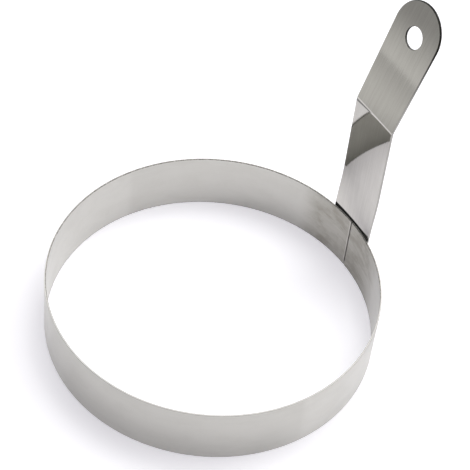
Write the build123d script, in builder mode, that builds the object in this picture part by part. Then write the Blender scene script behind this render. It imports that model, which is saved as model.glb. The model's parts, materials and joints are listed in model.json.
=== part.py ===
from build123d import *
from math import acos, asin, atan2, cos, degrees, hypot, pi, radians, sin, tan
import os

# Cooking ring: a strip of stainless steel rolled into a ring, with an upright strap handle that is
# spot welded over the seam. Millimetres, +Z up. The origin is the centre of the ring in the plane
# that it rests on, and +X points from there to the handle.

# Driving dimensions of the band
ring_outer_diameter = 127.0
band_height = 25.0
band_thickness = 0.6
band_edge_break = 0.1
seam_gap = 0.5

# Driving dimensions of the strap
strap_width = 22.4
strap_thickness = 1.0
strap_edge_break = 0.15
foot_bottom_gap = 1.0
foot_corner_radius = 3.0
flattening_height = 22.0
flattening_level_shares = (0.0, 0.2, 0.4, 0.6, 0.8)
fold_height = 82.5
fold_inner_radius = 2.0
upper_lean_degrees = 19.0
upper_length = 49.0
tip_width = 23.7

# Driving dimensions of the hanging hole
hole_diameter = 8.4
hole_to_tip = 13.8

# Driving dimensions of the spot welds and of the dents that the electrodes leave
nugget_diameter = 3.4
nugget_flat_share = 0.55
nugget_depth_in_band = 0.3
nugget_depth_in_strap = 0.5
nugget_rim_depth_in_strap = 0.14
weld_columns_apart = 12.0
weld_rows_apart = 17.0
electrode_diameter = 5.0
electrode_face_share = 0.75
dent_depth = 0.12

# One overrun for cuts that start outside the metal
overrun = 2.0

# Sizes that follow from the driving dimensions
ring_outer_radius = ring_outer_diameter / 2
ring_inner_radius = ring_outer_radius - band_thickness
seam_angle = degrees(seam_gap / ring_outer_radius)
half_width = strap_width / 2
foot_height = band_height - foot_bottom_gap
foot_crown = ring_outer_radius - (ring_outer_radius**2 - half_width**2) ** 0.5
flat_start = band_height + flattening_height
upper_lean = radians(upper_lean_degrees)
fold_face_radius = fold_inner_radius + strap_thickness
fold_length = 2 * fold_face_radius * tan(upper_lean / 2)

# The upper blade widens a little from the fold to its round tip, and its sides run into the round
tip_radius = tip_width / 2
tip_centre = upper_length - tip_radius
taper_run = tip_centre - fold_length
side_taper = atan2(taper_run, half_width) - acos(tip_radius / hypot(half_width, taper_run))
side_end_x = tip_radius * cos(side_taper)
side_end_y = tip_centre - tip_radius * sin(side_taper)

# The upper blade's plane: on the face that looks at the middle of the ring, with Y up the blade
fold_corner = Vector(ring_outer_radius, 0, fold_height)
upper_plane = Plane(
    origin=fold_corner, x_dir=(0, 1, 0), z_dir=(cos(upper_lean), 0, -sin(upper_lean))
)


def strap_level(height, crown):
    """The strap cut level, where it is pressed to a crown that bows away from the ring's middle."""
    with BuildSketch(Plane.XY.offset(height)) as level:
        with BuildLine():
            side_x = ring_outer_radius - crown
            ring_face = ThreePointArc(
                (side_x, -half_width), (ring_outer_radius, 0), (side_x, half_width)
            )
            outer_x = ring_outer_radius + strap_thickness
            outer_side_x = outer_x - crown
            outer_face = ThreePointArc(
                (outer_side_x, -half_width), (outer_x, 0), (outer_side_x, half_width)
            )
            Line(ring_face @ 0, outer_face @ 0)
            Line(ring_face @ 1, outer_face @ 1)
        make_face()
    return level.sketch


def weld_axis_plane(across, height):
    """A plane that holds a weld's axis as its Y, from the middle of the ring outward."""
    angle = asin(across / ring_outer_radius)
    outward = Vector(cos(angle), sin(angle), 0)
    touching_point = outward * ring_outer_radius + Vector(0, 0, height)
    return Plane(origin=touching_point, x_dir=(0, 0, 1), z_dir=Vector(0, 0, 1).cross(outward))


weld_row_middle = foot_bottom_gap + foot_height / 2
nugget_flat_radius = nugget_flat_share * nugget_diameter / 2
electrode_face_radius = electrode_face_share * electrode_diameter / 2
weld_planes = [
    weld_axis_plane(side * weld_columns_apart / 2, weld_row_middle + row * weld_rows_apart / 2)
    for side in (-1, 1)
    for row in (-1, 1)
]

# The weld nuggets: flat lenses that sit deeper in the strap, the thicker of the two sheets
with BuildPart() as spot_welds:
    for weld_plane in weld_planes:
        with BuildSketch(weld_plane):
            with BuildLine():
                Polyline(
                    (0, -nugget_depth_in_band),
                    (nugget_flat_radius, -nugget_depth_in_band),
                    (nugget_diameter / 2, nugget_rim_depth_in_strap),
                    (nugget_flat_radius, nugget_depth_in_strap),
                    (0, nugget_depth_in_strap),
                    close=True,
                )
            make_face()
        revolve(axis=Axis(weld_plane.origin, weld_plane.y_dir))

# The band: its section rolled round to the open butt seam, with pockets for the nuggets
with BuildPart() as ring_band:
    with BuildSketch(Plane.XZ.rotated((0, 0, seam_angle / 2))) as band_section:
        with Locations((ring_inner_radius + band_thickness / 2, band_height / 2)):
            Rectangle(band_thickness, band_height)
        chamfer(band_section.vertices(), band_edge_break)
    revolve(axis=Axis.Z, revolution_arc=360 - seam_angle)
    add(spot_welds, mode=Mode.SUBTRACT)

# The levels that the strap passes as it flattens, from the foot's curve to the flat blade
flattening_levels = [
    strap_level(
        band_height + flattening_height * share, foot_crown * (1 + cos(pi * share)) / 2
    )
    for share in flattening_level_shares
]
with BuildSketch(Plane.XY.offset(flat_start)) as flat_level:
    with Locations((ring_outer_radius + strap_thickness / 2, 0)):
        Rectangle(strap_thickness, strap_width)

# The strap: a curved foot on the band, flattened above it, folded outward and rounded at its tip
with BuildPart() as handle_strap:
    extrude(strap_level(foot_bottom_gap, foot_crown), amount=foot_height)
    loft(sections=flattening_levels + [flat_level.sketch])
    with BuildSketch(Plane.XZ):
        with BuildLine():
            FilletPolyline(
                (ring_outer_radius, flat_start),
                (ring_outer_radius, fold_height),
                (
                    ring_outer_radius + fold_length * sin(upper_lean),
                    fold_height + fold_length * cos(upper_lean),
                ),
                radius=fold_face_radius,
            )
            offset(amount=strap_thickness, side=Side.RIGHT)
        make_face()
    extrude(amount=half_width, both=True)
    with BuildSketch(upper_plane):
        with BuildLine():
            Polyline(
                (side_end_x, side_end_y),
                (half_width, fold_length),
                (-half_width, fold_length),
                (-side_end_x, side_end_y),
            )
            ThreePointArc((-side_end_x, side_end_y), (0, upper_length), (side_end_x, side_end_y))
        make_face()
        with Locations((0, upper_length - hole_to_tip)):
            Circle(hole_diameter / 2, mode=Mode.SUBTRACT)
    extrude(amount=strap_thickness)
    foot_corners = handle_strap.edges().filter_by(Axis.X).group_by(Axis.Z)[0]
    fillet(foot_corners, foot_corner_radius)
    tip_and_hole_rims = handle_strap.edges().filter_by(GeomType.CIRCLE).sort_by(Axis.Z)[-4:]
    chamfer(tip_and_hole_rims, strap_edge_break)
    add(spot_welds, mode=Mode.SUBTRACT)
    for weld_plane in weld_planes:
        with BuildSketch(weld_plane):
            with BuildLine():
                Polyline(
                    (0, strap_thickness - dent_depth),
                    (electrode_face_radius, strap_thickness - dent_depth),
                    (electrode_diameter / 2, strap_thickness),
                    (electrode_diameter / 2, strap_thickness + overrun),
                    (0, strap_thickness + overrun),
                    close=True,
                )
            make_face()
        revolve(axis=Axis(weld_plane.origin, weld_plane.y_dir), mode=Mode.SUBTRACT)

spot_welds.part.label = "spot_welds"
ring_band.part.label = "ring_band"
handle_strap.part.label = "handle_strap"
os.makedirs("parts", exist_ok=True)
export_step(spot_welds.part, "parts/spot_welds.step")
export_step(ring_band.part, "parts/ring_band.step")
export_step(handle_strap.part, "parts/handle_strap.step")
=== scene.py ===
# %% [markdown]
# # A cooking ring in bright strip steel
# The ring is two strips of stainless steel: a thin one rolled into a band, and a thicker one that is
# welded over the band's seam and stands up as the handle. The CAD model already has their true
# shapes, so it comes in as a fixed frame and the cells below are about light and metal.

# %% Load the frame
import json
import math

import bmesh
import bpy
from mathutils import Matrix, Vector


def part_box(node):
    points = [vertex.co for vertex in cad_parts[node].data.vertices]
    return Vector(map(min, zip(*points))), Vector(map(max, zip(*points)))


MM_PER_METRE = 1000

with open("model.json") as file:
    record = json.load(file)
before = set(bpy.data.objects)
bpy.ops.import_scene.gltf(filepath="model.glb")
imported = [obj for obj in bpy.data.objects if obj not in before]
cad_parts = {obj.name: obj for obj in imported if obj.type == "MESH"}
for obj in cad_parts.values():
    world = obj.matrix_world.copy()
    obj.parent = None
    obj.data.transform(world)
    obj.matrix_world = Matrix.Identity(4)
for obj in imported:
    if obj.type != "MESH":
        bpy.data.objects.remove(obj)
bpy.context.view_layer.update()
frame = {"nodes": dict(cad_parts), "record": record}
print("nodes:", sorted(frame["nodes"]))

# %% [markdown]
# ## Measure the pieces
# Cut edges and weld marks have to lie exactly where the metal has them, so their places are measured
# on the pieces wherever a box or a bore gives them. The few others are the CAD model's own sizes. A
# curve is made of facets, and their corners can miss its widest point by a hair. Rounding to a
# hundredth of a millimetre gives the true size back.

# %% Measure the pieces
DECIMALS = 5
NUGGET_RADIUS = 0.0017

band_low, band_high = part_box("ring_band")
strap_low, strap_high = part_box("handle_strap")
welds_low, welds_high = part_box("spot_welds")
mount_sizes = {mount["name"]: mount["dims"] for mount in frame["record"]["mounts"]}

RING_RADIUS = round(-band_low.x, DECIMALS)
BAND_HEIGHT = round(band_high.z, DECIMALS)
SHEET_MIDDLE = (RING_RADIUS + mount_sizes["ring_bore"]["r_mm"] / MM_PER_METRE) / 2
FOOT_BOTTOM = round(strap_low.z, DECIMALS)
TIP_RADIUS = round(strap_high.y, DECIMALS)
HOLE_RADIUS = mount_sizes["hanging_hole"]["r_mm"] / MM_PER_METRE
WELDS_MIDDLE = round((welds_low.z + welds_high.z) / 2, DECIMALS)
WELDS_UP = round(welds_high.z - WELDS_MIDDLE - NUGGET_RADIUS, DECIMALS)
WELDS_ACROSS = round(welds_high.y - NUGGET_RADIUS, DECIMALS)
print("ring radius", RING_RADIUS, "band height", BAND_HEIGHT, "tip radius", TIP_RADIUS)
print("welds", WELDS_ACROSS, "off the seam and", WELDS_UP, "off the middle at", WELDS_MIDDLE)

# %% [markdown]
# ## Camera
# The photograph looks down at the ring across its open middle towards the handle, well off the line
# through the handle, with a long lens and the camera rolled a few degrees. A camera could be placed
# by eye, but rims of a round band are unforgiving, so these numbers come from fitting a camera to
# the four rims and to the outline of the strap. A long lens far away keeps the lower rim nearly as
# wide as the upper one, as it is there.

# %% Place the camera
LENS_PIXELS, PICTURE_PIXELS, SENSOR_WIDTH = 1704.9, 470.0, 36.0
CAMERA_AZIMUTH, CAMERA_ELEVATION, CAMERA_ROLL = -36.739, 47.665, 7.035
CAMERA_DISTANCE, RIGHT_OF_ORIGIN, ABOVE_ORIGIN = 0.6592, 0.009921, 0.033187
CLIP_END = 20.0

turn = (
    Matrix.Rotation(math.radians(CAMERA_AZIMUTH), 3, "Z")
    @ Matrix.Rotation(math.radians(90 - CAMERA_ELEVATION), 3, "X")
    @ Matrix.Rotation(math.radians(CAMERA_ROLL), 3, "Z")
)
camera_place = turn @ Vector((RIGHT_OF_ORIGIN, ABOVE_ORIGIN, CAMERA_DISTANCE))
camera_data = bpy.data.cameras.new("camera")
camera_data.sensor_width = SENSOR_WIDTH
camera_data.lens = LENS_PIXELS / PICTURE_PIXELS * SENSOR_WIDTH
camera_data.clip_end = CLIP_END
camera = bpy.data.objects.new("camera", camera_data)
bpy.context.scene.collection.objects.link(camera)
camera.matrix_world = Matrix.Translation(camera_place) @ turn.to_4x4()
bpy.context.scene.camera = camera
print("lens:", round(camera_data.lens, 1), "mm, camera at", [round(v, 3) for v in camera_place])

# %% [markdown]
# ## Helpers for formulas
# Materials are trees of nodes, and writing each node and link on its own line hides the idea. `add`
# makes a node and fills or wires its inputs, and `calc` is the same for the Math node. `times`,
# `total` and `weighted` chain Math nodes, so that a formula reads nearly as it would on paper.

# %% Helpers for formulas
def add(tree, kind, inputs=None, **settings):
    """Add a node, choose its settings, then fill each input with a value or wire a socket to it."""
    node = tree.nodes.new("ShaderNode" + kind)
    for name, value in settings.items():
        setattr(node, name, value)
    for name, value in (inputs or {}).items():
        if isinstance(value, bpy.types.NodeSocket):
            tree.links.new(value, node.inputs[name])
        else:
            node.inputs[name].default_value = value
    return node


def calc(tree, operation, *values):
    """A Math node's result."""
    return add(tree, "Math", dict(enumerate(values)), operation=operation).outputs[0]


def times(tree, first, *others):
    """The product of any number of values, two to a node."""
    for value in others:
        first = calc(tree, "MULTIPLY", first, value)
    return first


def total(tree, first, *others):
    """The sum of any number of values, two to a node."""
    for value in others:
        first = calc(tree, "ADD", first, value)
    return first


def weighted(tree, *pairs):
    """The sum of several values, each times its own weight."""
    return total(tree, *[times(tree, value, weight) for value, weight in pairs])


# %% [markdown]
# ## Helpers for masks and places
# Masks say how much of a mark a point gets, from 0 to 1. `ramp` eases one value into another, which
# is what most masks are, and `blend` mixes two colours by a mask. The other two helpers find where a
# point is, because a mask needs a distance to start from.

# %% Helpers for masks and places
def ramp(tree, value, start, end, low=0.0, high=1.0):
    """A value eased from low to high while it goes from start to end."""
    inputs = {"Value": value, "From Min": start, "From Max": end, "To Min": low, "To Max": high}
    return add(tree, "MapRange", inputs, interpolation_type="SMOOTHSTEP").outputs["Result"]


def blend(tree, mask, first, second):
    """The first colour where the mask is 0 and the second where it is 1."""
    # A Mix node set to colours takes its factor at socket 0 and its two colours at 6 and 7
    return add(tree, "Mix", {0: mask, 6: first, 7: second}, data_type="RGBA").outputs[2]


def length_of(tree, first, second):
    """The length of a step that goes first one way and then square to it."""
    return calc(tree, "SQRT", total(tree, times(tree, first, first), times(tree, second, second)))


def along_direction(tree, place, direction):
    """How far a place lies along a direction."""
    both = {0: place, 1: direction}
    return add(tree, "VectorMath", both, operation="DOT_PRODUCT").outputs["Value"]


# %% [markdown]
# ## The white table
# Polished steel shows its surroundings, so the table matters even where the camera doesn't see it.
# The next two cells make its material.

# %% Lay the table
TABLE_HALF_SIZE = 3.0

table_mesh = bpy.data.meshes.new("table_top")
sheet = bmesh.new()
bmesh.ops.create_grid(sheet, x_segments=1, y_segments=1, size=TABLE_HALF_SIZE)
sheet.to_mesh(table_mesh)
sheet.free()
table = bpy.data.objects.new("table_top", table_mesh)
bpy.context.scene.collection.objects.link(table)
print("table:", 2 * TABLE_HALF_SIZE, "m square")

# %% [markdown]
# ## What the steel finds on the table
# Reflections find tones on the table that the photographer's room put there, and here they are
# painted into its colour as light and shade. Far off, where only the upper blade looks, there is a
# slow fade, a painted fall-off of the light, and one straight step of tone, as where a second sheet
# begins. Its line was worked out backwards from where the blade shows it: `depth` is the distance
# towards that line. Three ramps along it make the fade, the step and the far fall-off, and a fourth
# dims the near end. Close to the ring the lower parts of the walls mirror the strip of table at their
# own foot. There a painted shadow deepens the lamps' own, so the tone drops a little: outside the
# ring at the front, and inside it at the back and by the seam.

# %% Tones that reflections find on the table
# A ramp is where it starts and ends, in metres, and then its tone before and after, if not 0 and 1
SHEET_DIRECTION = (-0.878, -0.478, 0.0)
SLOW_FADE = (0.046, 0.066, 0.66, 0.51)
SHEET_STEP = (0.065, 0.0662, 1.0, 1.38)
FAR_FADE = (0.064, 0.106, 1.0, 0.5)
NEAR_END = (0.235, 0.285, 0.8, 1.0)
FAR_AWAY = (0.19, 0.23)
ROUND_THE_RING = (0.062, 0.09, 1.0, 0.95)
BACK_WALL, BACK_SHADE = (0.82, 0.57, 0.0), (0.054, 0.0605, 1.0, 0.85)
SEAM_WALL, SEAM_SHADE = (1.0, 0.0, 0.0), (0.055, 0.0605, 1.0, 0.8)
FRONT_WALL, FRONT_SIDE = (-0.75, -0.66, 0.0), (0.04, 0.055)
FRONT_BEGINS, FRONT_ENDS = (0.06, 0.0645), (0.069, 0.077, 1.0, 0.0)
FRONT_SHADOW_TONE = 0.88

table_material = bpy.data.materials.new("white_table")
table_material.use_nodes = True
tree = table_material.node_tree
tree.nodes.clear()
place = add(tree, "TexCoord").outputs["Object"]
distance = add(tree, "VectorMath", {0: place}, operation="LENGTH").outputs["Value"]

depth = along_direction(tree, place, SHEET_DIRECTION)
# The slow fade and the far fall-off are a painted fall-off of the light
far_ramps = [ramp(tree, depth, *numbers) for numbers in (SLOW_FADE, SHEET_STEP, FAR_FADE)]
far_tone = times(tree, *far_ramps, ramp(tree, distance, *NEAR_END))
far_away = ramp(tree, distance, *FAR_AWAY)

near_ring = calc(tree, "SUBTRACT", 1.0, far_away)
near_tone = times(tree, near_ring, ramp(tree, distance, *ROUND_THE_RING))
# Painted shadow: the table is darker at the foot of the back wall, by the seam and at the front
for wall, shade in ((BACK_WALL, BACK_SHADE), (SEAM_WALL, SEAM_SHADE)):
    near_tone = times(tree, near_tone, ramp(tree, along_direction(tree, place, wall), *shade))
front_foot_shadow = times(
    tree,
    ramp(tree, distance, *FRONT_BEGINS),
    ramp(tree, distance, *FRONT_ENDS),
    ramp(tree, along_direction(tree, place, FRONT_WALL), *FRONT_SIDE),
)
near_tone = times(tree, near_tone, ramp(tree, front_foot_shadow, 0.0, 1.0, 1.0, FRONT_SHADOW_TONE))
mirrored_tone = total(tree, near_tone, times(tree, far_away, far_tone))
print("table tones:", len(tree.nodes), "nodes")

# %% [markdown]
# ## The photographer's white
# That white is brighter than paper can be under plain light, so a Light Path node lifts the sheet
# for the camera and for the first reflection in metal. A faint lavender in the lift gives the cool
# shadows, and for metal it turns a little warm far off, as the upper blade shows it. The lamps
# still draw the shadows, because the lift is added to the lit sheet and doesn't replace it. The
# lamps don't reach the far end of the sheet, so the camera gets more of the lift there, and a low
# view stays white up to the horizon.

# %% Lift the table for the camera and for metal
TABLE_WHITE, BLACK = (0.8, 0.8, 0.8, 1.0), (0.0, 0.0, 0.0, 1.0)
TABLE_LIFT = 0.42
COOL_LIFT, WARM_LIFT = (0.998, 0.97, 1.056, 1.0), (0.998, 0.985, 0.93, 1.0)
TOWARDS_HORIZON = (0.4, 1.6, 1.0, 2.5)
FIRST_LOOK = 1.5

path = add(tree, "LightPath").outputs
for_camera = path["Is Camera Ray"]
for_metal = calc(tree, "MAXIMUM", path["Is Glossy Ray"], path["Is Transmission Ray"])
camera_tone = times(tree, for_camera, ramp(tree, distance, *TOWARDS_HORIZON))
seen_tone = calc(tree, "MAXIMUM", camera_tone, mirrored_tone)
looked_at = calc(tree, "MAXIMUM", for_camera, for_metal)
first_look = calc(tree, "LESS_THAN", path["Ray Depth"], FIRST_LOOK)
lift = times(tree, looked_at, first_look, seen_tone, TABLE_LIFT)
lift_colour = blend(tree, times(tree, for_metal, far_away), COOL_LIFT, WARM_LIFT)
white = blend(tree, seen_tone, BLACK, TABLE_WHITE)
matt = add(tree, "BsdfDiffuse", {"Color": white}).outputs[0]
glow = add(tree, "Emission", {"Color": lift_colour, "Strength": lift}).outputs[0]
lit_and_lifted = add(tree, "AddShader", {0: matt, 1: glow}).outputs[0]
add(tree, "OutputMaterial", {0: lit_and_lifted})
table_mesh.materials.append(table_material)
print("table material:", len(tree.nodes), "nodes")

# %% [markdown]
# ## Studio light
# The photograph was lit softly from behind and from the right: the shadows inside the ring lie
# against its back and right walls, and the band grows darker towards the handle. Point lamps would
# burn small hot spots into steel, so every lamp is a large panel. Each is described by where it
# stands round the ring and how bright its face is, and the lamp's power follows from its area. The
# brightnesses were found by rendering one panel at a time and solving for the mix that gives the
# photograph's tones.

# %% Hang the panels
PANEL_DISTANCE = 1.5
PANELS = {
    # name: (azimuth, elevation, width, height, brightness of its face)
    "back_high": (0, 64, 0.8, 0.8, 3.07),
    "back_low": (0, 38, 0.8, 0.8, 1.74),
    "left_high": (60, 64, 0.8, 0.8, 2.28),
    "left_low": (90, 38, 0.8, 0.8, 0.62),
    "right_low": (315, 38, 0.8, 0.8, 0.91),
    "right_fill": (270, 22, 0.8, 0.5, 0.55),
    "front_high": (240, 64, 0.8, 0.8, 0.73),
    "overhead": (0, 90, 0.9, 0.9, 1.71),
}

for name, (azimuth, elevation, width, height, brightness) in PANELS.items():
    lamp = bpy.data.lights.new(name, "AREA")
    lamp.shape = "RECTANGLE"
    lamp.size, lamp.size_y = width, height
    lamp.energy = math.pi * width * height * brightness
    panel = bpy.data.objects.new(name, lamp)
    bpy.context.scene.collection.objects.link(panel)
    towards_panel = (
        Matrix.Rotation(math.radians(azimuth), 3, "Z")
        @ Matrix.Rotation(math.radians(-elevation), 3, "Y")
        @ Vector((1, 0, 0))
    )
    panel.location = towards_panel * PANEL_DISTANCE
    panel.rotation_euler = (-towards_panel).to_track_quat("-Z", "Y").to_euler()
    print(name, "power", round(lamp.energy, 2), "W")

# %% [markdown]
# ## The room behind the panels
# A low view mirrors the room in the upper blade, and a dark room would make that blade look like
# black plastic. Real studio walls are pale, so the room is lighter for the camera and for metal than
# it is as a lamp. A Light Path node keeps the two apart, and only the first look gets the pale
# walls. In a world, Ray Depth counts one bounce more than on a surface.

# %% Paint the room
ROOM_WHITE = (1.0, 1.0, 1.0, 1.0)
WORLD_STRENGTH, PALE_WALLS = 0.18, 0.5

world = bpy.data.worlds.new("studio_room")
world.use_nodes = True
tree = world.node_tree
room = tree.nodes["Background"]
room.inputs["Color"].default_value = ROOM_WHITE
path = add(tree, "LightPath").outputs
looked_at = calc(tree, "MAXIMUM", path["Is Camera Ray"], path["Is Glossy Ray"])
looked_at = calc(tree, "MAXIMUM", looked_at, path["Is Transmission Ray"])
first_look = calc(tree, "LESS_THAN", path["Ray Depth"], FIRST_LOOK + 1)
walls = total(tree, times(tree, looked_at, first_look, PALE_WALLS), WORLD_STRENGTH)
tree.links.new(walls, room.inputs["Strength"])
bpy.context.scene.world = world
bpy.context.scene.view_settings.view_transform = "Standard"
print("room:", WORLD_STRENGTH, "as a lamp,", round(WORLD_STRENGTH + PALE_WALLS, 2), "to the eye")

# %% [markdown]
# ## Helpers for node groups
# When two materials need the same effect, it is built once as a node group, a small machine with
# named inputs and outputs. One helper makes an empty group and hands back its two ends, and the
# other places a group in a material.

# %% Helpers for node groups
def new_group(name, inputs, outputs):
    """An empty shader node group with named sockets, and its two ends."""
    group = bpy.data.node_groups.new(name, "ShaderNodeTree")
    for label, value in inputs.items():
        kind = "NodeSocketVector" if value is None else "NodeSocketFloat"
        socket = group.interface.new_socket(label, in_out="INPUT", socket_type=kind)
        if value is not None:
            socket.default_value = value
    for label in outputs:
        group.interface.new_socket(label, in_out="OUTPUT", socket_type="NodeSocketFloat")
    start = group.nodes.new("NodeGroupInput").outputs
    end = group.nodes.new("NodeGroupOutput").inputs
    return group, start, end


def place_group(tree, group, inputs):
    """Put a group in a material, wire its inputs and hand back its outputs."""
    return add(tree, "Group", inputs, node_tree=group).outputs


# %% [markdown]
# ## Grain that more than one steel needs
# Strip steel is rolled and then brushed along its length, which leaves fine lines that all run one
# way, and broad soft bands square to the strip where the rolls pressed a little differently. The
# group is told how far a point is along the strip and across it, and stretches noise by those two
# numbers. `Side` shifts the noise, so that the two faces of a sheet differ. A picture of brushed
# steel would do the same from one distance only, while noise stays sharp.

# %% Rolled grain group
# The soft bands reach four times as far across the strip as along it
BAND_STRETCH = 4.0


def stretched_noise(tree, start, length, width, detail, roughness):
    """Noise on the strip, with features of a length along it and a width across it."""
    noise_place = add(tree, "CombineXYZ", {
        0: calc(tree, "DIVIDE", start["Along"], length),
        1: calc(tree, "DIVIDE", start["Across"], width),
        2: start["Side"],
    }).outputs[0]
    inputs = {"Vector": noise_place, "Scale": 1.0, "Detail": detail, "Roughness": roughness}
    return add(tree, "TexNoise", inputs).outputs[0]


grain_group, start, end = new_group(
    "rolled_grain",
    {
        "Along": 0.0, "Across": 0.0, "Side": 0.0,
        "Line Length": 0.03, "Line Width": 0.0003, "Band Width": 0.02,
    },
    ["Lines", "Bands"],
)
band_width = start["Band Width"]
band_reach = times(grain_group, band_width, BAND_STRETCH)
lines = stretched_noise(
    grain_group, start, start["Line Length"], start["Line Width"], detail=3.0, roughness=0.6
)
bands = stretched_noise(grain_group, start, band_width, band_reach, detail=1.5, roughness=0.5)
grain_group.links.new(lines, end["Lines"])
grain_group.links.new(bands, end["Bands"])
print("group:", grain_group.name, len(grain_group.nodes), "nodes")

# %% [markdown]
# ## Handling marks
# A kitchen tool that has been welded, deburred and handled carries cloudy smears and a few hairline
# scratches. Cloudy smears are noise with a soft threshold. They have a place input of their own, so
# that a rolled strip can hand in unrolled coordinates and its smears run along it. Hairlines are
# noise stretched forty to one, cut off so high that only its crests are left, once in each of two
# slanting directions.

# %% Handling marks group
# The cloud's edge and the hairline's crest are values of their noise
CLOUD_EDGE = (0.38, 0.72)
HAIRLINE_SLANTS, HAIRLINE_TILT = (0.5, -0.8), 0.3
HAIRLINE_SCALE = (900.0, 900.0, 22.0)
HAIRLINE_CREST = (0.69, 0.74)

marks_group, start, end = new_group(
    "handling_marks",
    {"Vector": None, "Smear Place": None, "Smear Size": 0.012},
    ["Smears", "Hairlines"],
)
smear_scale = calc(marks_group, "DIVIDE", 1.0, start["Smear Size"])
smear_inputs = {0: start["Smear Place"], 3: smear_scale}
smear_place = add(marks_group, "VectorMath", smear_inputs, operation="SCALE").outputs[0]
clouds = add(marks_group, "TexNoise", {
    "Vector": smear_place, "Scale": 1.0, "Detail": 5.0, "Roughness": 0.62, "Distortion": 0.5,
}).outputs[0]
marks_group.links.new(ramp(marks_group, clouds, *CLOUD_EDGE), end["Smears"])
hairlines = []
for slant in HAIRLINE_SLANTS:
    turned = add(marks_group, "Mapping", {
        "Vector": start["Vector"],
        "Rotation": (slant, HAIRLINE_TILT, slant),
        "Scale": HAIRLINE_SCALE,
    }).outputs[0]
    noise_inputs = {"Vector": turned, "Scale": 1.0, "Detail": 1.0}
    crests = add(marks_group, "TexNoise", noise_inputs).outputs[0]
    hairlines.append(ramp(marks_group, crests, *HAIRLINE_CREST))
marks_group.links.new(calc(marks_group, "MAXIMUM", *hairlines), end["Hairlines"])
print("group:", marks_group.name, len(marks_group.nodes), "nodes")

# %% [markdown]
# ## Cut edges
# Both strips were sheared. A sheared edge is bare metal with a ragged border, and here and there a
# dark burr is torn out of it. The group gets the distance from the cut in metres, compares it with a
# width that noise makes ragged, and gives a mask that is 1 on the edge itself. It hands out the
# noise as well, so that a material can decide where its burrs are.

# %% Cut edge group
# The border is in widths of the edge
BURRS_PER_METRE = 1400.0
NOISE_MIDDLE, SWING = 0.5, 4.0
LEAST_WIDTH = 0.00002
EDGE_BORDER = (1.2, 0.8)

edge_group, start, end = new_group(
    "cut_edge",
    {"Vector": None, "Distance": 0.0, "Width": 0.0003, "Raggedness": 0.5},
    ["Edge", "Burr"],
)
burr_inputs = {0: start["Vector"], 3: BURRS_PER_METRE}
burr_place = add(edge_group, "VectorMath", burr_inputs, operation="SCALE").outputs[0]
noise_inputs = {"Vector": burr_place, "Scale": 1.0, "Detail": 3.0, "Roughness": 0.7}
burrs = add(edge_group, "TexNoise", noise_inputs).outputs[0]
off_middle = calc(edge_group, "SUBTRACT", burrs, NOISE_MIDDLE)
swing = times(edge_group, off_middle, SWING, start["Raggedness"])
ragged_width = times(edge_group, start["Width"], total(edge_group, swing, 1.0))
ragged_width = calc(edge_group, "MAXIMUM", ragged_width, LEAST_WIDTH)
widths_away = calc(edge_group, "DIVIDE", start["Distance"], ragged_width)
edge_group.links.new(ramp(edge_group, widths_away, *EDGE_BORDER), end["Edge"])
edge_group.links.new(burrs, end["Burr"])
print("group:", edge_group.name, len(edge_group.nodes), "nodes")

# %% [markdown]
# ## Marks of the spot welds
# Each weld nugget shows on both pieces. On the inside of the band it is a faint grey disc, and on
# the outside of the strap the electrode left a dent with a straw-coloured ring of heat round it. The
# four welds stand two and two about the seam, so one distance formula, folded by the absolute value
# of both coordinates, serves them all. The mirror image of that formula on the far side of the ring
# is masked off.

# %% Weld marks group
# The spot's border and the ring's place are in radii of the weld
SEAM_HALF_FROM = 0.05
SPOT_BORDER = (1.25, 0.6)
RING_AT, RING_BORDER = 1.5, (0.6, 0.0)

weld_group, start, end = new_group(
    "weld_marks",
    {
        "Vector": None, "Across": WELDS_ACROSS, "Middle": WELDS_MIDDLE, "Up": WELDS_UP,
        "Radius": NUGGET_RADIUS,
    },
    ["Spot", "Ring"],
)
point = add(weld_group, "SeparateXYZ", {0: start["Vector"]}).outputs
from_seam = calc(weld_group, "ABSOLUTE", point["Y"])
from_middle = calc(weld_group, "ABSOLUTE", calc(weld_group, "SUBTRACT", point["Z"], start["Middle"]))
from_column = calc(weld_group, "SUBTRACT", from_seam, start["Across"])
from_row = calc(weld_group, "SUBTRACT", from_middle, start["Up"])
radii = calc(weld_group, "DIVIDE", length_of(weld_group, from_column, from_row), start["Radius"])
seam_half = calc(weld_group, "GREATER_THAN", point["X"], SEAM_HALF_FROM)
spot = ramp(weld_group, radii, *SPOT_BORDER)
off_ring = calc(weld_group, "ABSOLUTE", calc(weld_group, "SUBTRACT", radii, RING_AT))
heat_ring = ramp(weld_group, off_ring, *RING_BORDER)
weld_group.links.new(times(weld_group, spot, seam_half), end["Spot"])
weld_group.links.new(times(weld_group, heat_ring, seam_half), end["Ring"])
print("group:", weld_group.name, len(weld_group.nodes), "nodes")

# %% [markdown]
# ## Helpers for the steels
# All three steels start from the same few nodes and end in the same wiring. The shader itself stays
# in each material, as bare metal, and takes a colour, a roughness and a relief. A Bump node turns
# the relief into tilted light without touching the mesh. Its height is in metres, so its strength
# can stay at 1.

# %% Helpers for the steels
def new_steel(name):
    """A metal material, its node tree and the place of a point on its piece."""
    steel = bpy.data.materials.new(name)
    steel.use_nodes = True
    tree = steel.node_tree
    tree.nodes["Principled BSDF"].inputs["Metallic"].default_value = 1.0
    return steel, tree, add(tree, "TexCoord").outputs["Object"]


def wire_steel(tree, colour, rough, relief):
    """Wire a colour, a roughness and a relief in metres to a material's shader."""
    shader = tree.nodes["Principled BSDF"]
    bump = add(tree, "Bump", {"Strength": 1.0, "Distance": 1.0, "Height": relief}).outputs[0]
    for name, value in (("Base Color", colour), ("Roughness", rough), ("Normal", bump)):
        tree.links.new(value, shader.inputs[name])


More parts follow.
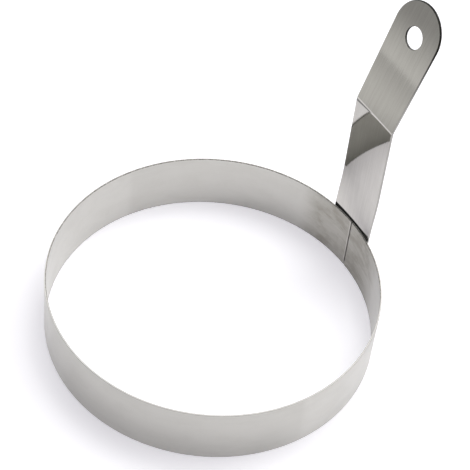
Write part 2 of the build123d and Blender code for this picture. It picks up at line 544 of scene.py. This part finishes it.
# %% [markdown]
# ## The band, unrolled
# The band is rolled from thin strip with a satin finish, and its grain runs round the ring. Turning
# x and y into an angle unrolls the band: angle times radius is the distance along the strip, and
# height is the distance across it. The minus signs put the break of the angle at the seam, where
# the real strip ends too. With these two distances the three groups can be placed on the strip.
# The radius, scaled up, goes into the noise as well, so that inside and outside differ.

# %% Band steel: place its marks
GRAIN_SIDES_APART, SMEAR_SIDES_APART = 3000.0, 30.0
SMEAR_SQUEEZE = 0.5

band_steel, tree, place = new_steel("band_steel")
x, y, z = add(tree, "SeparateXYZ", {0: place}).outputs
angle = calc(tree, "ARCTAN2", times(tree, y, -1.0), times(tree, x, -1.0))
along = times(tree, angle, RING_RADIUS)
radius = length_of(tree, x, y)
grain = place_group(tree, grain_group, {
    "Along": along, "Across": z, "Side": times(tree, radius, GRAIN_SIDES_APART),
    "Line Length": 0.03, "Line Width": 0.0004, "Band Width": 0.018,
})
unrolled = add(tree, "CombineXYZ", {
    0: times(tree, along, SMEAR_SQUEEZE), 1: z, 2: times(tree, radius, SMEAR_SIDES_APART),
}).outputs[0]
smear_inputs = {"Vector": place, "Smear Place": unrolled, "Smear Size": 0.0055}
marks = place_group(tree, marks_group, smear_inputs)
below_rim = calc(tree, "SUBTRACT", BAND_HEIGHT, z)
edge = place_group(tree, edge_group, {
    "Vector": place, "Width": 0.00028, "Raggedness": 0.5,
    "Distance": calc(tree, "MINIMUM", z, below_rim),
})
welds = place_group(tree, weld_group, {"Vector": place, "Radius": NUGGET_RADIUS})
print("band marks placed:", len(tree.nodes), "nodes")

# %% [markdown]
# ## The band's worked stretches and painted light
# Four stretches of the band each get one mask. Beside the seam the metal was worked by the welder:
# dull, smeared and streaky, and more so on the inside. Along the seam, one end of the strip gets a
# bright line, a painted highlight on its edge. Two opposite stretches of the ring are a shade lighter
# than the rest, with a soft but clear start: a painted reflection of a bright panel's edge in the
# brushed metal. The cut rim is dull at the front and brighter on the far side, where a dark burr is
# torn out along its inner corner.

# %% Band steel: its worked stretches, a painted highlight and a painted reflection
# A border is where a mask starts and where it is full, in metres unless its comment says otherwise
NEAR_SEAM = (0.0565, 0.062)
WORKED_SMEARS, WORKED_STREAKS, WORKED_EVENLY = 0.6, 0.8, 0.2
WORKED_OUTSIDE, SMEARS_ELSEWHERE = 0.3, 0.1
SEAM_HIGHLIGHT_END, SEAM_HIGHLIGHT_START, SEAM_HIGHLIGHT_AMOUNT = (0.0011, 0.0006), (0.0, 0.0002), 0.45
REFLECTION_MIDDLE, REFLECTION_START, REFLECTION_SOFTNESS = 0.68, 0.78, 0.02  # an angle and two values of its sine
FAR_SIDE, FAR_BORDER = (0.47, 0.883, 0.0), (-0.016, -0.006)
TORN_NOISE = (0.24, 0.56)  # two values of the burr noise

inside = calc(tree, "LESS_THAN", radius, SHEET_MIDDLE)
near_seam = ramp(tree, x, *NEAR_SEAM)
streaks = total(tree, times(tree, grain["Lines"], WORKED_STREAKS), WORKED_EVENLY)
worked = total(tree, times(tree, marks["Smears"], WORKED_SMEARS), streaks)
worked = times(tree, worked, near_seam, ramp(tree, inside, 0.0, 1.0, WORKED_OUTSIDE, 1.0))
smeared = calc(tree, "MAXIMUM", worked, times(tree, marks["Smears"], SMEARS_ELSEWHERE))

# A bright line along the seam on one end of the strip: a painted highlight on its edge
seam_highlight = times(tree, ramp(tree, y, *SEAM_HIGHLIGHT_END), ramp(tree, y, *SEAM_HIGHLIGHT_START))
seam_highlight = times(tree, seam_highlight, near_seam, SEAM_HIGHLIGHT_AMOUNT)

# Two lighter stretches: a painted reflection of a bright panel's edge in the brushed metal
from_reflection_zones = calc(tree, "SINE", calc(tree, "SUBTRACT", angle, REFLECTION_MIDDLE))
from_reflection_zones = calc(tree, "ABSOLUTE", from_reflection_zones)
reflection_zone = ramp(tree, from_reflection_zones, REFLECTION_START - REFLECTION_SOFTNESS, REFLECTION_START + REFLECTION_SOFTNESS)

far_side = ramp(tree, along_direction(tree, place, FAR_SIDE), *FAR_BORDER)
torn = times(tree, far_side, inside, ramp(tree, edge["Burr"], *TORN_NOISE))
print("band stretches: worked, dressed, lighter zones, torn burr")

# %% [markdown]
# ## The band's colour, roughness and relief
# The colour starts from two near greys, mixed by the grain, and each mask then covers a part of it,
# the widest first. Smeared and cut metal is rougher as well as darker, so the same masks raise the
# roughness. The relief is tiny: brushed lines, burrs, hairline scratches, and the two ends of the
# strip, which curl in by a hair at the seam.

# %% Band steel: colour, roughness and relief
BAND_LIGHT, BAND_DARK = (0.603, 0.595, 0.563, 1.0), (0.52, 0.512, 0.482, 1.0)
SMEAR_GREY = (0.352, 0.337, 0.3, 1.0)
SEAM_EDGE_HIGHLIGHT = (0.62, 0.61, 0.585, 1.0)
CUT_GREY, CUT_DULL = (0.62, 0.605, 0.575, 1.0), (0.47, 0.46, 0.44, 1.0)
BURR_DARK = (0.17, 0.164, 0.152, 1.0)
LINES_TONE, BANDS_TONE, REFLECTION_TONE, WELD_PRINT = 0.4, 0.4, 0.45, 0.5
BAND_ROUGH, LINES_ROUGH, SMEARS_ROUGH, CUT_ROUGH = 0.31, 0.08, 0.1, 0.2
CURL_BORDER, CURL_HEIGHT = (0.0013, 0.0002), -0.00006
LINE_HEIGHT, BURR_HEIGHT, SCRATCH_DEPTH = 0.000002, 0.00004, 0.000003

# The lighter stretches in this tone are the painted reflection
tone = weighted(
    tree, (grain["Lines"], LINES_TONE), (grain["Bands"], BANDS_TONE), (reflection_zone, REFLECTION_TONE)
)
colour = blend(tree, tone, BAND_DARK, BAND_LIGHT)
colour = blend(tree, smeared, colour, SMEAR_GREY)
colour = blend(tree, times(tree, welds["Spot"], inside, WELD_PRINT), colour, SMEAR_GREY)
# The painted highlight along the seam
colour = blend(tree, seam_highlight, colour, SEAM_EDGE_HIGHLIGHT)
rim_colour = blend(tree, far_side, CUT_DULL, CUT_GREY)
rim_colour = blend(tree, torn, rim_colour, BURR_DARK)
colour = blend(tree, edge["Edge"], colour, rim_colour)

rough = weighted(
    tree, (grain["Lines"], LINES_ROUGH), (smeared, SMEARS_ROUGH), (edge["Edge"], CUT_ROUGH)
)
rough = total(tree, rough, BAND_ROUGH)

at_seam = times(tree, ramp(tree, calc(tree, "ABSOLUTE", y), *CURL_BORDER), near_seam)
burr = times(tree, edge["Edge"], edge["Burr"])
relief = weighted(
    tree, (grain["Lines"], LINE_HEIGHT), (at_seam, CURL_HEIGHT), (burr, BURR_HEIGHT)
)
relief = calc(tree, "SUBTRACT", relief, times(tree, marks["Hairlines"], SCRATCH_DEPTH))
wire_steel(tree, colour, rough, relief)
print("band steel:", len(tree.nodes), "nodes")

# %% [markdown]
# ## The strap's measures
# Cut edges, the hole, the foot and the fold all leave marks, so the material has to know where they
# are. The outline of the upper blade widens a little from the fold to a round end, and one formula
# gives the distance from it: half the width at that height, less the distance from the blade's
# middle line. Above the centre of the round, the part along the blade counts as well. The hole is a
# circle on the same middle line, and the nearest of the three cuts is the one that shows.

# %% Strap steel: how far each point is from a cut
HALF_WIDTH, UPPER_LENGTH, HOLE_TO_TIP = 0.0112, 0.049, 0.0138
FOLD_HEIGHT, LEAN = 0.0825, math.radians(19.0)

strap_steel, tree, place = new_steel("strap_steel")
x, y, z = add(tree, "SeparateXYZ", {0: place}).outputs
blade_up = Vector((math.sin(LEAN), 0.0, math.cos(LEAN)))
round_centre = Vector((RING_RADIUS, 0.0, FOLD_HEIGHT)) + blade_up * (UPPER_LENGTH - TIP_RADIUS)
from_centre = add(tree, "VectorMath", {0: place, 1: round_centre}, operation="SUBTRACT").outputs[0]
up_blade = along_direction(tree, from_centre, blade_up)
past_centre = calc(tree, "MAXIMUM", up_blade, 0.0)
half_width_here = add(tree, "MapRange", {
    "Value": up_blade, "From Min": TIP_RADIUS - UPPER_LENGTH, "From Max": 0.0,
    "To Min": HALF_WIDTH, "To Max": TIP_RADIUS,
}).outputs["Result"]
outline_depth = calc(tree, "SUBTRACT", half_width_here, length_of(tree, y, past_centre))
past_hole = total(tree, up_blade, HOLE_TO_TIP - TIP_RADIUS)
hole_depth = calc(tree, "SUBTRACT", length_of(tree, y, past_hole), HOLE_RADIUS)
foot_depth = calc(tree, "SUBTRACT", z, FOOT_BOTTOM)
cut_distance = calc(tree, "MINIMUM", calc(tree, "MINIMUM", outline_depth, hole_depth), foot_depth)
print("round end centred at", [round(v * MM_PER_METRE, 1) for v in round_centre], "mm")

# %% [markdown]
# ## Marks of rolling, cutting and welding
# The strap is thicker, brighter strip, close to a mirror, with fine lines along its length. The
# round end was punched, and its burr is dark and widest on the side that the camera looks across,
# so the edge's width grows there.

# %% Strap steel: place its marks
# The burr looks up the blade and to its -y side, and the borders are along that or up the blade
BURR_ALONG, BURR_ACROSS, BURR_BORDER = 0.8, 0.6, (-0.002, 0.004)
ROUND_BORDER, PUNCHED_BORDER = (-0.005, 0.001), (-0.03, 0.0)
EDGE_WIDTH, BURR_WIDTH = 0.00012, 0.00016
STRAP_SIDES_APART = 6.0
RING_SIDE_WITHIN = 0.0004
DENT_RADIUS = 0.0025

grain = place_group(tree, grain_group, {
    "Along": z, "Across": y, "Side": times(tree, x, STRAP_SIDES_APART),
    "Line Length": 0.016, "Line Width": 0.00045, "Band Width": 0.04,
})
smear_inputs = {"Vector": place, "Smear Place": place, "Smear Size": 0.016}
marks = place_group(tree, marks_group, smear_inputs)
along_burr = times(tree, past_centre, BURR_ALONG)
towards_burr = calc(tree, "SUBTRACT", along_burr, times(tree, y, BURR_ACROSS))
on_outline = calc(tree, "LESS_THAN", outline_depth, hole_depth)
on_outline = times(tree, on_outline, ramp(tree, up_blade, *ROUND_BORDER))
burred = times(tree, ramp(tree, towards_burr, *BURR_BORDER), on_outline)
edge = place_group(tree, edge_group, {
    "Vector": place, "Raggedness": 0.25, "Distance": cut_distance,
    "Width": total(tree, times(tree, burred, BURR_WIDTH), EDGE_WIDTH),
})
punched = ramp(tree, up_blade, *PUNCHED_BORDER)
welds = place_group(tree, weld_group, {"Vector": place, "Radius": DENT_RADIUS})
radius = length_of(tree, x, y)
ring_side = calc(tree, "LESS_THAN", radius, RING_RADIUS + RING_SIDE_WITHIN)
outside = calc(tree, "SUBTRACT", 1.0, ring_side)
print("strap marks placed:", len(tree.nodes), "nodes")

# %% [markdown]
# ## The slit's painted shadow and the fold's painted reflection
# The real strap stands off the rim by a hair, and that gap shows as a black slit. The solid stands
# against the band, so a dark line just above the rim, bowed as the rim is, is painted shadow in the
# gap's place. The fold was pressed a little askew, and its bend mirrors the dark patch of the band: a
# dark strip painted along it as reflection, narrowing from one side to the middle.

# %% Strap steel: painted shadow of the slit and painted reflection of the fold
# The painted reflection's border is in its own widths, which grow with y
SLIT_BOW, SLIT_ABOVE_RIM, SLIT_SOFTNESS = 5.0, 0.0013, 0.0001
ASKEW = 0.07
FOLD_REFLECTION_GROWTH, LEAST_FOLD_REFLECTION = 0.035, 0.0002
FOLD_REFLECTION_BORDER, FOLD_REFLECTION_SIDE = (1.2, 0.7), (0.001, 0.003)
INNER_FACE_WITHIN = 0.0005

# The slit is painted shadow: a dark line just above the rim
slit_top = total(tree, times(tree, y, y, SLIT_BOW), BAND_HEIGHT + SLIT_ABOVE_RIM)
above_slit = calc(tree, "SUBTRACT", z, slit_top)
slit = times(tree, ramp(tree, above_slit, SLIT_SOFTNESS, -SLIT_SOFTNESS), ring_side)

# A painted reflection along the fold, where the bend mirrors the band's dark patch
askew_height = total(tree, z, times(tree, y, ASKEW))
off_fold_reflection = calc(tree, "ABSOLUTE", calc(tree, "SUBTRACT", askew_height, FOLD_HEIGHT))
fold_reflection_width = times(tree, calc(tree, "MAXIMUM", y, 0.0), FOLD_REFLECTION_GROWTH)
fold_reflection_width = total(tree, fold_reflection_width, LEAST_FOLD_REFLECTION)
fold_reflection = ramp(tree, calc(tree, "DIVIDE", off_fold_reflection, fold_reflection_width), *FOLD_REFLECTION_BORDER)
inner_face = calc(tree, "LESS_THAN", x, RING_RADIUS + INNER_FACE_WITHIN)
fold_reflection = times(tree, fold_reflection, ramp(tree, y, *FOLD_REFLECTION_SIDE), inner_face)
print("slit and crease placed:", len(tree.nodes), "nodes")

# %% [markdown]
# ## The strap's colour
# Brushed steel alternates between two close greys. Everything else lies over it in turn: smears,
# straw-coloured heat round the welds, cut edges, the slit's painted shadow and the fold's painted
# reflection.

# %% Strap steel: colour
STRAP_LIGHT, STRAP_DARK = (0.6, 0.586, 0.556, 1.0), (0.507, 0.493, 0.466, 1.0)
HEAT_STRAW = (0.52, 0.4, 0.24, 1.0)
CUT_BRIGHT, PUNCHED_DARK = (0.5, 0.49, 0.465, 1.0), (0.02, 0.019, 0.017, 1.0)
SLIT_SHADOW = (0.006, 0.0055, 0.005, 1.0)
FOLD_DARK_REFLECTION = (0.17, 0.168, 0.155, 1.0)
BRUSHED_NOISE = (0.36, 0.64)
BRUSHED_TONE, ROLLED_TONE = 0.4, 0.6
SMEAR_AMOUNT, HEAT_AMOUNT = 0.08, 0.3

brushed = ramp(tree, grain["Lines"], *BRUSHED_NOISE)
tone = weighted(tree, (brushed, BRUSHED_TONE), (grain["Bands"], ROLLED_TONE))
colour = blend(tree, tone, STRAP_DARK, STRAP_LIGHT)
colour = blend(tree, times(tree, marks["Smears"], SMEAR_AMOUNT), colour, SMEAR_GREY)
colour = blend(tree, times(tree, welds["Ring"], outside, HEAT_AMOUNT), colour, HEAT_STRAW)
colour = blend(tree, edge["Edge"], colour, blend(tree, punched, CUT_BRIGHT, PUNCHED_DARK))
# Painted shadow of the slit
colour = blend(tree, slit, colour, SLIT_SHADOW)
# Painted reflection along the fold
colour = blend(tree, fold_reflection, colour, FOLD_DARK_REFLECTION)
print("strap colours: 2 greys under 5 marks")

# %% [markdown]
# ## The tilt of the mirror
# Mirrors show their own shape. In the photograph the blade reflects the back of the band as a dark
# four-sided patch, and where that patch lies says that the pressed strap is turned by a few degrees
# and slightly hollow. Its solid stays straight. A gentle slope and a parabola across the width, fed
# to the relief, tilt only the reflection. They fade in at the rim, where the foot lets go of the
# band. The brushed lines and the hairlines are in the same relief, far smaller.

# %% Strap steel: roughness and tilt
STRAP_ROUGH, LINES_ROUGH, SMEARS_ROUGH, CUT_ROUGH = 0.015, 0.03, 0.01, 0.35
TURN_SLOPE, HOLLOW = -0.0924, 0.52
FREE_OF_BAND = (0.02, 0.034)
LINE_HEIGHT, SCRATCH_DEPTH = 0.0000012, 0.0000003

rough = weighted(
    tree,
    (grain["Lines"], LINES_ROUGH), (marks["Smears"], SMEARS_ROUGH), (edge["Edge"], CUT_ROUGH),
)
rough = total(tree, rough, STRAP_ROUGH)
tilt = total(tree, times(tree, y, TURN_SLOPE), times(tree, y, y, HOLLOW))
relief = times(tree, tilt, ramp(tree, z, *FREE_OF_BAND))
relief = total(tree, relief, times(tree, grain["Lines"], LINE_HEIGHT))
relief = calc(tree, "SUBTRACT", relief, times(tree, marks["Hairlines"], SCRATCH_DEPTH))
wire_steel(tree, colour, rough, relief)
print("strap steel:", len(tree.nodes), "nodes")

# %% [markdown]
# ## The weld nuggets
# The nuggets are steel that melted and froze between the two strips, so nobody sees them unless the
# pieces are taken apart. Cast metal has grains instead of rolled lines. A Voronoi texture gives such
# grains, each a little lighter or duller than the next, with a heat tint where the smears fall.

# %% Weld steel
WELD_LIGHT, WELD_DARK = (0.47, 0.455, 0.43, 1.0), (0.33, 0.315, 0.29, 1.0)
CRYSTALS_PER_METRE = 2200.0
HEAT_IN_SMEARS = 0.5
WELD_ROUGH, CRYSTALS_ROUGH = 0.38, 0.15
CRYSTAL_HEIGHT = 0.00001

weld_steel, tree, place = new_steel("weld_steel")
crystals = add(tree, "TexVoronoi", {"Vector": place, "Scale": CRYSTALS_PER_METRE}).outputs
smear_inputs = {"Vector": place, "Smear Place": place, "Smear Size": 0.002}
marks = place_group(tree, marks_group, smear_inputs)
shade = add(tree, "SeparateColor", {0: crystals["Color"]}).outputs[0]
colour = blend(tree, shade, WELD_DARK, WELD_LIGHT)
colour = blend(tree, times(tree, marks["Smears"], HEAT_IN_SMEARS), colour, HEAT_STRAW)
rough = total(tree, times(tree, shade, CRYSTALS_ROUGH), WELD_ROUGH)
relief = times(tree, crystals["Distance"], CRYSTAL_HEIGHT)
wire_steel(tree, colour, rough, relief)
print("weld steel:", len(tree.nodes), "nodes")

# %% [markdown]
# ## Dress the three pieces
# Every piece keeps the mesh that it came with, because its shape is already right. Only its
# material slots change. Nothing moves on this object, and the pieces ride on its one body already.

# %% Give each piece its steel
FINISHES = {"ring_band": band_steel, "handle_strap": strap_steel, "spot_welds": weld_steel}
for name, steel in FINISHES.items():
    mesh = frame["nodes"][name].data
    mesh.materials.clear()
    mesh.materials.append(steel)
    print(name, "faces", len(mesh.polygons), "steel", steel.name)
